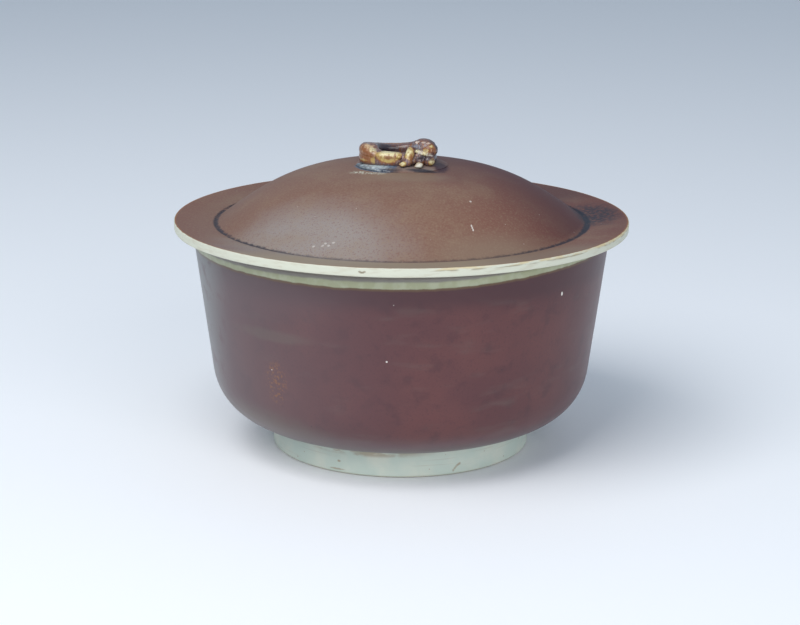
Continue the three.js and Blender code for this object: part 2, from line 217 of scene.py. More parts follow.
def bowl_outline():
    wall = point(wall_slope, 1).normalized()
    turn = point(TURN_RADIUS, TURN_HEIGHT)
    bead_middle = point(FOOT_RADIUS + GLAZE_ROLL, BOWL_SEAT + GLAZE_ROLL / 3)
    bead = arc(bead_middle, GLAZE_ROLL, 200, 330)
    belly = curve(bead[-1], bead[-1] + point(BELLY_RUN, 0), turn - wall * BELLY_FALL, turn)
    rise = line(turn, point(LIP_RADIUS, LIP_HEIGHT - lip_round), CURVE_STEPS)
    lip = arc(point(lip_middle, LIP_HEIGHT - lip_round), lip_round, 0, 180, 2 * EDGE_STEPS)
    inside_turn = point(TURN_RADIUS - TURN_WALL, TURN_HEIGHT)
    fall = line(lip[-1], inside_turn, 2 * CURVE_STEPS)
    hollow = curve(
        inside_turn,
        inside_turn - wall * BELLY_FALL,
        point(FLOOR_RADIUS + FLOOR_RUN, floor_height),
        point(FLOOR_RADIUS, floor_height),
        2 * CURVE_STEPS,
    )
    floor = line(hollow[-1], point(0, floor_height), CURVE_STEPS)
    base = [point(0, BOWL_SEAT)] + line(point(0, BOWL_SEAT), point(FOOT_RADIUS, BOWL_SEAT), EDGE_STEPS)
    return base + bead + belly[1:] + rise + lip[1:] + thrown(fall + hollow[1:]) + floor


def dome_curve(inset):
    """The dome from its foot to its crown, moved in by a wall's thickness."""
    foot = point(
        groove_radius - GROOVE_WIDTH / 2 - inset * math.sin(SHOULDER_SLOPE),
        groove_height - inset * math.cos(SHOULDER_SLOPE),
    )
    rise = point(-math.cos(SHOULDER_SLOPE), math.sin(SHOULDER_SLOPE))
    crown = point(0, CROWN_HEIGHT - inset)
    return curve(foot, foot + rise * SHOULDER_REACH, point(CROWN_REACH, crown.y), crown, 2 * CURVE_STEPS)


def dome_height(radius):
    """Height of the dome's outside at a radius."""
    points = dome_curve(0)
    for lower, upper in zip(points, points[1:]):
        if upper.x <= radius:
            share = (lower.x - radius) / (lower.x - upper.x)
            return lower.y + (upper.y - lower.y) * share
    return CROWN_HEIGHT


def lid_outline():
    under = list(reversed(dome_curve(DOME_WALL)))
    seat = line(point(groove_radius, LID_SEAT), point(COLLAR_RADIUS, LID_SEAT), EDGE_STEPS // 2)
    outer = LID_RADIUS - BRIM_ROUND
    edge = arc(point(outer, brim_under + BRIM_ROUND), BRIM_ROUND, 270, 360)
    edge += arc(point(outer, brim_top - BRIM_ROUND), BRIM_ROUND, 0, 90)
    underside = line(seat[-1], edge[0], EDGE_STEPS)
    shelf = line(edge[-1], point(groove_radius + GROOVE_WIDTH / 2, groove_height), CURVE_STEPS)
    groove_floor = point(groove_radius, groove_height - GROOVE_DEPTH)
    groove_end = point(groove_radius - GROOVE_WIDTH / 2, groove_height)
    groove = curve(shelf[-1], groove_floor, groove_floor, groove_end, EDGE_STEPS)
    return under + seat + underside[:-1] + edge + shelf + groove[1:] + dome_curve(0)[1:]


def collar_outline():
    top = LID_SEAT + SUNK
    return ring_outline(groove_radius, COLLAR_RADIUS, COLLAR_FOOT, top, COLLAR_BEVEL, 0, 1)


def pad_outline():
    radii = [PAD_RADIUS * i / EDGE_STEPS for i in range(EDGE_STEPS + 1)]
    under = [point(radius, dome_height(radius) - SUNK) for radius in radii]
    edge = point(PAD_RADIUS, dome_height(PAD_RADIUS) + PAD_EDGE)
    slope = curve(edge, edge + point(-PAD_RUN, PAD_RISE), point(PAD_SHOULDER, PAD_TOP), point(0, PAD_TOP))
    return under + slope


# Modelling

def deselect():
    bpy.ops.object.select_all(action="DESELECT")


def select(*pieces):
    """Selects these pieces alone and makes the first of them active."""
    deselect()
    for piece in pieces:
        piece.select_set(True)
    bpy.context.view_layer.objects.active = pieces[0]


def closed(piece):
    """Turns the faces of a piece in edit mode outwards, leaves edit mode and shades it smooth."""
    bpy.ops.mesh.select_all(action="SELECT")
    bpy.ops.mesh.normals_make_consistent(inside=False)
    bpy.ops.object.mode_set(mode="OBJECT")
    bpy.ops.object.shade_smooth()
    return piece


def applied(piece, kind, **settings):
    """Adds a modifier with these settings to a piece and applies it."""
    select(piece)
    modifier = piece.modifiers.new(kind.lower(), kind)
    for name, value in settings.items():
        setattr(modifier, name, value)
    bpy.ops.object.modifier_apply(modifier=modifier.name)
    return piece


def turned(name, outline):
    """Throws a piece: half of its outline is drawn point by point and spun about the upright."""
    deselect()
    bpy.ops.mesh.primitive_plane_add(size=MM)
    piece = bpy.context.object
    piece.name = name
    points = [Vector((place.x, 0, place.y)) * MM for place in outline]
    bpy.ops.object.mode_set(mode="EDIT")
    bpy.ops.mesh.merge(type="CENTER")
    bpy.ops.transform.translate(value=points[0])
    for here, there in zip(points, points[1:]):
        bpy.ops.mesh.extrude_vertices_move(TRANSFORM_OT_translate={"value": there - here})
    bpy.ops.mesh.select_all(action="SELECT")
    bpy.ops.mesh.spin(steps=ROUND_STEPS, angle=2 * math.pi, center=(0, 0, 0), axis=(0, 0, 1))
    bpy.ops.mesh.select_all(action="SELECT")
    bpy.ops.mesh.remove_doubles(threshold=WELD)
    return closed(piece)


def uneven(piece, depth, size):
    """Leaves the slow waves of hand work, pressed in only, so that the outer sizes hold."""
    waves = bpy.data.textures.new(piece.name + "_waves", "CLOUDS")
    waves.noise_scale = size * MM
    return applied(
        piece, "DISPLACE", texture=waves, texture_coords="LOCAL", strength=depth * MM, mid_level=1.0
    )


def lump(place, half_sizes, facing=0):
    """A ball of clay drawn out to three half sizes, turned about the upright and set in its place."""
    deselect()
    bpy.ops.mesh.primitive_uv_sphere_add(
        segments=LUMP_SEGMENTS,
        ring_count=LUMP_RINGS,
        radius=1,
        location=place * MM,
        rotation=(0, 0, math.radians(facing)),
        scale=[half * MM for half in half_sizes],
    )
    return bpy.context.object


def pressed(name, lumps, grain, passes):
    """Presses lumps into one skin of this grain and smooths it over."""
    select(*lumps)
    piece = lumps[0]
    bpy.ops.object.join()
    bpy.ops.object.transform_apply(location=True, rotation=True, scale=True)
    piece.name = name
    applied(piece, "REMESH", mode="VOXEL", voxel_size=grain * MM)
    applied(piece, "SMOOTH", factor=0.5, iterations=passes)
    return piece


def carved(piece, cutters):
    """Cuts the shapes of some lumps out of a piece."""
    for cutter in cutters:
        applied(piece, "BOOLEAN", operation="DIFFERENCE", solver="EXACT", object=cutter)
        bpy.data.objects.remove(cutter)
    return piece


def flattened(piece):
    """Slices a piece of the beast off flat, as deep as it is sunk in its pad, and closes the cut."""
    bed = (0, 0, (BEAST_BED - PAW_SINK) * MM)
    select(piece)
    bpy.ops.object.mode_set(mode="EDIT")
    bpy.ops.mesh.select_all(action="SELECT")
    bpy.ops.mesh.bisect(plane_co=bed, plane_no=(0, 0, 1), use_fill=True, clear_inner=True, threshold=WELD)
    return closed(piece)


# Finishes

COAT_ROUGHNESS = 0.12
MIX_SHARE, MIX_UNDER, MIX_OVER, MIX_COLOUR = 0, 6, 7, 2  # sockets of a Mix node for colours


def linear(colour):
    """The shader's value of a colour given as it looks on a screen, 0 to 255."""
    shares = [part / 255 for part in colour]
    return [share / 12.92 if share < 0.04 else ((share + 0.055) / 1.055) ** 2.4 for share in shares] + [1]


class Finish:
    """A surface built up in washes, as a glaze is; its patterns read places on the piece in millimetres."""

    def __init__(self, name, colour):
        self.material = bpy.data.materials.new(name)
        self.material.use_nodes = True
        self.tree = self.material.node_tree
        self.shader = self.tree.nodes["Principled BSDF"]
        self.colour = linear(colour)
        self.bent = {}  # the normal, once there is relief
        coordinates = self.add("TexCoord").outputs["Object"]
        self.place = self.vector("MULTIPLY", coordinates, (1 / MM, 1 / MM, 1 / MM))
        self.across, self.deep, self.height = self.add("SeparateXYZ", {0: self.place}).outputs
        self.radius = self.vector("LENGTH", self.vector("MULTIPLY", self.place, (1, 1, 0)))

    def add(self, kind, values=(), **settings):
        """A new node with these settings, and values for its sockets by number or name."""
        node = self.tree.nodes.new("ShaderNode" + kind)
        for name, value in settings.items():
            setattr(node, name, value)
        self.feed(node, values)
        return node

    def feed(self, node, values):
        """Links or sets the sockets of a node."""
        for socket, value in dict(values).items():
            if isinstance(value, bpy.types.NodeSocket):
                self.tree.links.new(value, node.inputs[socket])
            else:
                node.inputs[socket].default_value = value

    def vector(self, operation, *values):
        node = self.add("VectorMath", enumerate(values), operation=operation)
        return node.outputs["Value" if operation == "LENGTH" else "Vector"]

    def calc(self, operation, *values):
        return self.add("Math", enumerate(values), operation=operation).outputs[0]

    def times(self, *values):
        """Product of several shares."""
        product = values[0]
        for value in values[1:]:
            product = self.calc("MULTIPLY", product, value)
        return product

    def fade(self, value, start, end):
        """Rises smoothly from 0 to 1 as a value goes from start to end."""
        values = {"Value": value, "From Min": start, "From Max": end}
        return self.add("MapRange", values, interpolation_type="SMOOTHSTEP").outputs["Result"]

    def band(self, value, middle, half_width, soft):
        """1 within a half width of a middle value, fading out beyond it."""
        away = self.calc("ABSOLUTE", self.calc("SUBTRACT", value, middle))
        return self.fade(away, half_width + soft, half_width)

    def wavering(self, value, pattern, depth):
        """A value that goes up and down by a depth along a pattern."""
        return self.calc("ADD", value, self.calc("MULTIPLY_ADD", pattern, 2 * depth, -depth))

    def noise(self, size, stretch=(1, 1, 1), detail=3.0, shift=0.0):
        """Cloudy values about 0.5, with clouds about this size, drawn out along the axes."""
        drawn = self.vector("DIVIDE", self.place, stretch)
        place = self.vector("ADD", drawn, (shift, shift, shift))
        return self.add("TexNoise", {"Vector": place, "Scale": 1 / size, "Detail": detail}).outputs["Fac"]

    def specks(self, spacing, size, shift=0.0):
        """Scattered dots of about this size, 1 inside and 0 outside."""
        place = self.vector("ADD", self.place, (shift, shift, shift))
        away = self.add("TexVoronoi", {"Vector": place, "Scale": 1 / spacing}).outputs["Distance"]
        return self.fade(away, size / spacing, 0.6 * size / spacing)

    def reach(self, centre, half_sizes, ragged=0.0, grain=1.5):
        """Distance from a centre, 1 on an ellipsoid of these half sizes, wandering by a ragged share."""
        offset = self.vector("SUBTRACT", self.place, tuple(centre))
        away = self.vector("LENGTH", self.vector("DIVIDE", offset, tuple(half_sizes)))
        if ragged:
            away = self.wavering(away, self.noise(grain), ragged)
        return away

    def spot(self, centre, half_sizes, soft=0.35, ragged=0.0, grain=1.5):
        """1 in an ellipsoid and 0 outside, with a soft edge that wanders by a ragged share."""
        away = self.reach(centre, half_sizes, ragged, grain)
        return self.fade(away, 1 + soft / 2, 1 - soft / 2)

    def wash(self, colour, *shares):
        """Lays a colour over what is there, by the product of these shares."""
        values = {MIX_SHARE: self.times(*shares), MIX_UNDER: self.colour, MIX_OVER: linear(colour)}
        self.colour = self.add("Mix", values, data_type="RGBA").outputs[MIX_COLOUR]

    def dab(self, colour, centre, half_sizes, strength, **edge):
        """Lays a colour on a spot with such an edge."""
        self.wash(colour, self.spot(centre, half_sizes, **edge), strength)

    def relief(self, height, depth):
        """Raises the surface by up to a depth where a pattern is high."""
        node = self.add("Bump", {"Strength": 1, "Distance": depth * MM, "Height": height, **self.bent})
        self.bent = {"Normal": node.outputs["Normal"]}

    def done(self, dull, glossy, pattern, coat=0.0, shine=0.5):
        """Joins the washes to the shader; roughness runs from dull to glossy along a pattern."""
        roughness = self.add("MapRange", {"Value": pattern, "To Min": dull, "To Max": glossy})
        self.feed(self.shader, {
            "Base Color": self.colour,
            "Roughness": roughness.outputs["Result"],
            "Specular IOR Level": shine,
            "Coat Weight": coat,
            "Coat Roughness": COAT_ROUGHNESS,
            **self.bent,
        })
        return self.material


# Colours of the clay and the glazes, as they look on a screen, 0 to 255
LIVER_RED = (88, 53, 55)
LIVER_WARM = (98, 59, 58)
LIVER_DARK = (70, 44, 49)
PLUM_GREY = (102, 90, 93)
MOSS_GREY = (102, 92, 86)
SAGE_GREY = (126, 133, 131)
CELADON = (155, 157, 128)
CELADON_PALE = (206, 210, 192)
OCHRE = (156, 104, 58)
LID_BROWN = (124, 94, 80)
LID_RED = (114, 70, 60)
LID_OLIVE = (138, 115, 94)
LID_SHADE_PURPLE = (80, 43, 44)
LID_KHAKI = (133, 115, 98)
LID_TAN = (152, 138, 118)
LID_GREY = (152, 152, 150)
INK = (36, 38, 50)
BRIM_SHADOW_GREY = (116, 109, 109)
OLIVE_BROWN = (106, 86, 60)
STRAW = (204, 184, 136)
CREAM = (226, 224, 207)
EDGE_CREAM = (202, 203, 186)
BARE_CLAY = (198, 210, 198)
CLAY_STAIN = (150, 118, 78)
POOL_WHITE = (188, 200, 202)
POOL_BLUE = (84, 106, 128)
SLIP_GREY = (126, 114, 108)
SHADOW_PLUM = (58, 34, 42)
MAUVE = (104, 80, 80)
GOLD = (178, 150, 86)
PALE_GOLD = (218, 208, 162)
BUFF = (204, 172, 132)
AMBER = (140, 88, 46)
RUST = (104, 60, 36)
SHEEN_SLATE = (122, 130, 142)
WHITE = (236, 232, 222)
PINK_WHITE = (208, 188, 172)
BONE = (212, 206, 192)


def on_front(radius, across, height):
    """Place on the front of a circle about the upright."""
    return Vector((across, -math.sqrt(radius * radius - across * across), height))


def wall_place(across, below):
    """Place on the front of the bowl's straight wall, a distance below the lip."""
    return on_front(LIP_RADIUS - below * wall_slope, across, LIP_HEIGHT - below)


def dome_place(across, deep):
    """Place on the outside of the dome."""
    return Vector((across, deep, dome_height(math.hypot(across, deep))))


POOL_PLACE = dome_place(-12, -11)  # where glaze has pooled beside the beast
POOL_SIZE = Vector((10.6, 10.4, 3.4))


def liver_glaze():
    """Cloudy red-brown glaze that turns plum under the lip and thins to celadon on it."""
    glaze = Finish("liver_red_glaze", LIVER_RED)
    clouds = glaze.noise(30)
    mottle = glaze.noise(6, shift=7)
    grain = glaze.noise(0.8, detail=2)
    streaks = glaze.noise(9, stretch=(2.5, 2.5, 0.6), shift=3)
    glaze.wash(LIVER_WARM, glaze.fade(clouds, 0.42, 0.68), 0.8)
    glaze.wash(LIVER_DARK, glaze.fade(mottle, 0.5, 0.75), 0.5)
    glaze.wash(LIVER_DARK, glaze.fade(grain, 0.5, 0.8), 0.45)
    glaze.wash(MOSS_GREY, glaze.fade(streaks, 0.55, 0.8), 0.3)
    # Darker band below the lip: painted shadow of the lid's brim.
    glaze.wash(LIVER_DARK, glaze.band(glaze.height, LIP_HEIGHT - 7, 2, 8), 0.8)
    # Greyer towards the left: partly the glaze's tone, partly painted sheen from the light on the left.
    glaze.wash(PLUM_GREY, glaze.fade(glaze.across, 15, -84), 0.65)
    glaze.dab(PLUM_GREY, (-62, -50, LIP_HEIGHT - 12), (44, 52, 9), 0.15, soft=1.0, ragged=0.3, grain=12)
    glaze.dab(MOSS_GREY, (-48, -62, LIP_HEIGHT - 28), (18, 14, 2.2), 0.4, soft=1.0, ragged=0.4, grain=5)
    # Greyer low on the belly by the foot: painted reflection of the pale floor.
    glaze.dab(MOSS_GREY, (-46, -42, BOWL_SEAT + 7), (30, 30, 9), 0.65, soft=1.0, ragged=0.3, grain=8)
    glaze.wash(PLUM_GREY, glaze.fade(glaze.height, BOWL_SEAT + 13, BOWL_SEAT + 1), 0.9)
    # Grey-green along the left side: partly glaze tone, partly painted sheen where the wall turns away on
    # the left.
    left_side = glaze.fade(glaze.across, -64, -80)
    glaze.wash(SAGE_GREY, left_side, glaze.fade(mottle, 0.3, 0.5), 0.6)
    wall_marks(glaze)
    thin_lip(glaze)
    glaze.relief(grain, depth=0.012)
    glaze.relief(mottle, depth=0.03)
    return glaze.done(dull=0.4, glossy=0.3, pattern=clouds, shine=0.35)


def wall_marks(glaze):
    """Pinholes, a chip, a brushed patch and stray specks in the bowl's glaze."""
    for across, below, size in ((-5.2, 33.5, 0.35), (-39.1, 64, 0.3), (-48.6, 42, 0.22)):
        glaze.dab(WHITE, wall_place(across, below), (size, 2 * size, size), 0.7)
    glaze.dab(WHITE, wall_place(60.5, 13.4), (0.35, 1, 0.8), 0.8)
    glaze.dab(INK, wall_place(-33.6, 62.8), (0.5, 1.5, 0.5), 0.8)
    brushed = glaze.spot(wall_place(-47, 47), (4, 6, 8), soft=0.8)
    glaze.wash(OCHRE, brushed, glaze.fade(glaze.noise(1.1, shift=8), 0.5, 0.62), 0.4)
    glaze.wash(WHITE, glaze.specks(spacing=11, size=0.28, shift=5), 0.3)
    glaze.wash(INK, glaze.specks(spacing=8, size=0.35, shift=2), 0.45)


def thin_lip(glaze):
    """Celadon where the glaze has run off the lip, narrower to the right, under a grey band of painted
    shadow from the lid's brim.
    """
    left_end = glaze.fade(glaze.across, -20, -75)
    right_end = glaze.fade(glaze.across, 5, 80)
    lip = glaze.wavering(glaze.height, glaze.noise(5, shift=1), 0.45)
    lip = glaze.calc("MULTIPLY_ADD", right_end, -2.8, lip)
    lip = glaze.calc("MULTIPLY_ADD", left_end, -0.3, lip)
    lip_start = LIP_HEIGHT - LIP_BAND
    glaze.wash(OLIVE_BROWN, glaze.band(lip, lip_start, 0.25, 0.7), 0.6)
    thinned = glaze.fade(lip, lip_start, lip_start + 0.6)
    glaze.wash(CELADON, thinned)
    glaze.wash(CELADON_PALE, thinned, glaze.fade(glaze.noise(4), 0.4, 0.7), 0.2)
    # Grey on the top of the lip: painted shadow of the lid's brim.
    upper = glaze.calc("MULTIPLY_ADD", left_end, 0.6, lip)
    glaze.wash(BRIM_SHADOW_GREY, glaze.fade(upper, LIP_HEIGHT - 3, LIP_HEIGHT - 2), 0.85)


def celadon_lining():
    """Thin grey-green glaze inside the bowl and over its base."""
    glaze = Finish("celadon_lining", CELADON_PALE)
    clouds = glaze.noise(22)
    grain = glaze.noise(1.1, detail=2)
    glaze.wash(CELADON, glaze.fade(clouds, 0.4, 0.7), 0.4)
    glaze.wash(CELADON, glaze.fade(glaze.height, LIP_HEIGHT - 9, LIP_HEIGHT - 2), 0.8)
    glaze.wash(CELADON, glaze.band(glaze.radius, FLOOR_RADIUS + 14, 3, 9), 0.35)
    glaze.wash(OCHRE, glaze.specks(spacing=7, size=0.4), 0.5)
    glaze.relief(grain, depth=0.012)
    glaze.relief(clouds, depth=0.05)
    return glaze.done(dull=0.3, glossy=0.2, pattern=clouds)


def bare_clay():
    """Unglazed white body of the foot ring and the collar, with turning lines and brown stains."""
    clay = Finish("bare_clay", BARE_CLAY)
    grain = clay.noise(0.6, detail=2)
    lines = clay.noise(0.7, stretch=(40, 40, 1))
    stains = clay.noise(3, stretch=(2.2, 2.2, 0.6), shift=4)
    clay.wash(CREAM, clay.fade(clay.noise(12), 0.4, 0.7), 0.5)
    clay.wash(CLAY_STAIN, clay.fade(lines, 0.62, 0.8), 0.3)
    front = clay.spot((-18, -48, BOWL_SEAT - 1.4), (26, 12, 1.6), soft=0.9)
    clay.wash(CLAY_STAIN, front, clay.fade(stains, 0.42, 0.6), 0.55)
    top = clay.band(clay.height, BOWL_SEAT, 0.7, 0.8)
    clay.wash(OCHRE, top, clay.fade(stains, 0.35, 0.65), 0.6)
    clay.dab(CLAY_STAIN, on_front(FOOT_RADIUS, -23.8, 4.9), (0.6, 2, 0.45), 0.6, soft=0.6, ragged=0.3)
    smear = on_front(FOOT_RADIUS, -24.6, 1.6)
    clay.dab(CLAY_STAIN, smear, (3, 3, 0.35), 0.55, soft=0.8, ragged=0.5, grain=0.8)
    for step in range(6):
        crack = on_front(FOOT_RADIUS, 20.6 + 0.5 * step, 1.8 + 0.8 * step - 0.06 * step * step)
        clay.dab(CLAY_STAIN, crack, (0.4, 1, 0.5), 0.5, soft=0.8, ragged=0.4, grain=0.6)
    clay.wash(CLAY_STAIN, clay.specks(spacing=5, size=0.35, shift=3), 0.6)
    # Darker towards the bottom edge of the ring.
    clay.wash(CLAY_STAIN, clay.fade(clay.height, 1.1, 0), 0.45)
    clay.relief(lines, depth=0.05)
    clay.relief(grain, depth=0.02)
    return clay.done(dull=0.75, glossy=0.55, pattern=grain)


def lid_glaze():
    """Fine-grained brown glaze with an inky groove; the edge of the brim is bare and creamy."""
    glaze = Finish("lid_brown_glaze", LID_BROWN)
    clouds = glaze.noise(34, shift=2)
    grain = glaze.noise(0.75, detail=2)
    speckle = glaze.noise(1.5, detail=4, shift=9)
    ragged_radius = glaze.wavering(glaze.radius, speckle, 0.8)
    lid_drifts(glaze, clouds, grain)
    lid_shade(glaze, speckle)
    groove_ink(glaze, ragged_radius)
    lid_marks(glaze)
    beast_painted_shade(glaze)
    pool_edge(glaze, ragged_radius)
    bare_edge(glaze)
    glaze.relief(grain, depth=0.03)
    glaze.relief(clouds, depth=0.05)
    return glaze.done(dull=0.55, glossy=0.42, pattern=clouds, shine=0.2)


def lid_drifts(glaze, clouds, grain):
    """Drifts of red, olive and grey in the brown, with khaki and tan low on the front; the red on the right
    is partly painted shade, and the grey at the front left partly painted sheen.
    """
    right = glaze.fade(glaze.across, -10, 70)
    brim = glaze.fade(glaze.radius, groove_radius + 3, LID_RADIUS - 3)
    # Red on the right, darker there: partly the glaze's red, partly painted shade of the side away from the
    # light.
    glaze.wash(LID_RED, right, glaze.fade(clouds, 0.3, 0.5), 0.85)
    # Grey at the front left of the dome: partly glaze tone, partly painted sheen of the key light.
    glaze.dab(LID_GREY, dome_place(-38, -62), (36, 30, 18), 0.6, soft=1.0, ragged=0.2, grain=12)
    glaze.wash(LID_OLIVE, glaze.fade(glaze.noise(18, shift=5), 0.45, 0.7), 0.4)
    glaze.wash(LID_RED, brim, 0.35)
    glaze.wash(LID_OLIVE, glaze.fade(grain, 0.5, 0.72), 0.5)
    glaze.wash(LID_RED, glaze.fade(grain, 0.5, 0.3), 0.4)
    low_front = glaze.times(glaze.fade(glaze.across, 0, 30), glaze.fade(glaze.deep, -38, -60))
    low_dome = glaze.fade(glaze.radius, groove_radius - 16, groove_radius - 2)
    glaze.wash(LID_KHAKI, low_front, low_dome, 0.65)
    front_brim = glaze.times(
        glaze.fade(glaze.radius, groove_radius + 0.5, groove_radius + 2.5),
        glaze.fade(glaze.deep, -55, -72),
        glaze.fade(glaze.across, 60, 15),
    )
    glaze.wash(LID_TAN, front_brim, 0.75)


def lid_shade(glaze, speckle):
    """Painted shade in purple towards the back right and a painted shadow of the beast on the dome, with
    khaki in front of the beast and ink on the right of the brim.
    """
    # Purple darkening towards the back right: painted shade of the side away from the lamps.
    shade = glaze.calc("ADD", glaze.across, glaze.deep)
    dome = glaze.fade(glaze.radius, groove_radius + 0.5, groove_radius - 3)
    glaze.wash(LID_SHADE_PURPLE, glaze.fade(shade, -20, 50), dome, 0.85)
    glaze.wash(LID_SHADE_PURPLE, glaze.fade(shade, 30, 100), 0.4)
    # Painted shadow of the beast on the dome at its right front.
    glaze.dab(LID_SHADE_PURPLE, dome_place(17, -18), (10, 10, 4), 0.2, soft=1.0, ragged=0.3, grain=4)
    glaze.dab(LID_KHAKI, dome_place(2, -23), (15, 6, 4), 0.55, soft=1.0, ragged=0.3, grain=3)
    patch = glaze.spot((77, 9, groove_height), (10, 17, 5), soft=0.9, ragged=0.35, grain=4)
    glaze.wash(INK, patch, glaze.fade(speckle, 0.35, 0.55), 0.9)
    glaze.dab(INK, (62, 52, groove_height), (18, 16, 5), 0.3, soft=1.0, ragged=0.3, grain=5)


def groove_ink(glaze, ragged_radius):
    """Broken ink in the groove, stronger at the sides and broad on the right."""
    inked = glaze.fade(glaze.noise(2.5, detail=4, shift=13), 0.26, 0.46)
    ends = glaze.fade(glaze.calc("ABSOLUTE", glaze.across), 25, 60)
    strength = glaze.calc("MULTIPLY_ADD", ends, 0.35, 0.5)
    glaze.wash(INK, inked, strength, glaze.band(ragged_radius, groove_radius, 0.5, 0.9))
    broad = glaze.times(inked, glaze.spot((73, -2, groove_height), (5, 24, 4), soft=0.8))
    glaze.wash(INK, broad, glaze.band(ragged_radius, groove_radius, 0.8, 0.8), 0.85)


def lid_marks(glaze):
    """White chips and scratches on the front of the dome, and stray specks."""
    for across, deep in ((-32.6, -61.3), (-29.3, -62.2), (-28.2, -61.6), (-27, -62.9), (-25.2, -62.2)):
        glaze.dab(WHITE, dome_place(across, deep), (0.55, 0.45, 0.5), 0.3, soft=0.8, ragged=0.5, grain=0.6)
    for across, deep in ((26.1, -54), (26.4, -54.9), (26.7, -55.8)):
        glaze.dab(WHITE, dome_place(across, deep), (0.28, 0.7, 0.6), 0.55)
    glaze.dab(WHITE, dome_place(26.1, -40.3), (0.45, 0.6, 0.5), 0.45)
    glaze.wash(WHITE, glaze.specks(spacing=9, size=0.28, shift=4), 0.3)


def beast_painted_shade(glaze):
    """Painted shade in front of the beast and on its right, over pad and dome: a dark line where it meets
    the pad, and the shaded right side of the mound.
    """
    # Dark line in front of the beast: painted contact shadow.
    glaze.dab(INK, dome_place(8.6, -15.6), (6.8, 1.7, 1.5), 0.9, soft=0.8, ragged=0.35, grain=1.6)
    # Dark plum on the right of the mound: painted shade.
    glaze.dab(SHADOW_PLUM, dome_place(15.5, -8.5), (2.8, 7, 2.4), 0.95, soft=0.8, ragged=0.35, grain=1.6)


def pool_edge(glaze, ragged_radius):
    """Blue, and pale spatter, on the dome where pooled glaze has run off the pad."""
    pool = glaze.spot(POOL_PLACE, POOL_SIZE * 0.95, soft=0.4)
    run_off = glaze.fade(ragged_radius, PAD_RADIUS + 1, PAD_RADIUS + 0.4)
    glaze.wash(POOL_BLUE, pool, run_off, 0.8)
    spattered = glaze.fade(glaze.noise(0.9, shift=4), 0.4, 0.6)
    for across, deep, strength in ((-17, -15.2, 0.8), (-13.2, -17.4, 0.65), (-9, -18.8, 0.5)):
        spatter = glaze.spot(dome_place(across, deep), (2.8, 1.5, 1.2), soft=1.0, ragged=0.3, grain=1)
        glaze.wash(CELADON_PALE, spatter, spattered, strength)


def bare_edge(glaze):
    """Creamy bare clay round the brim: ochre where the glaze ends, soiled, and straw where it is worn."""
    edge = glaze.wavering(glaze.radius, glaze.noise(3.5, shift=6), 0.25)
    bare_start = LID_RADIUS - EDGE_BAND
    glaze.wash(OCHRE, glaze.band(edge, bare_start - 0.15, 0.1, 0.3), 0.55)
    bare = glaze.fade(edge, bare_start, bare_start + 0.2)
    glaze.wash(EDGE_CREAM, bare)
    soiled = glaze.fade(glaze.noise(2.4, stretch=(2.5, 2.5, 0.5), shift=17), 0.45, 0.75)
    glaze.wash(CLAY_STAIN, bare, soiled, 0.2)
    stretch = glaze.fade(glaze.across, 8, 16)
    upper = glaze.fade(glaze.height, brim_top - 1.1, brim_top - 0.8)
    worn = glaze.fade(glaze.noise(3, stretch=(2, 2, 0.4), shift=21), 0.42, 0.6)
    glaze.wash(STRAW, bare, stretch, upper, worn, 0.6)
    glaze.wash(STRAW, bare, glaze.fade(glaze.across, 60, 86), upper, 0.5)
    dashes = glaze.times(stretch, worn, glaze.band(glaze.height, brim_top - 1.1, 0.1, 0.25))
    glaze.wash(OLIVE_BROWN, bare, dashes, 0.5)
    for across, rise in ((-15, 2.1), (-14.4, 1.8), (-13.8, 1.8), (-13.2, 2.1)):
        chip = on_front(LID_RADIUS, across, brim_under + rise)
        glaze.dab(OLIVE_BROWN, chip, (0.5, 1, 0.35), 0.6, soft=0.7, ragged=0.3)


def lid_lining():
    """Pale glaze in the hollow of the lid, and bare body under its brim."""
    glaze = Finish("lid_lining", CELADON_PALE)
    clouds = glaze.noise(20, shift=8)
    glaze.wash(CELADON, glaze.fade(clouds, 0.4, 0.7), 0.4)
    glaze.wash(CREAM, glaze.fade(glaze.radius, groove_radius - 3, groove_radius))
    glaze.wash(CLAY_STAIN, glaze.specks(spacing=7, size=0.4), 0.5)
    glaze.relief(glaze.noise(1.1), depth=0.015)
    return glaze.done(dull=0.42, glossy=0.28, pattern=clouds)


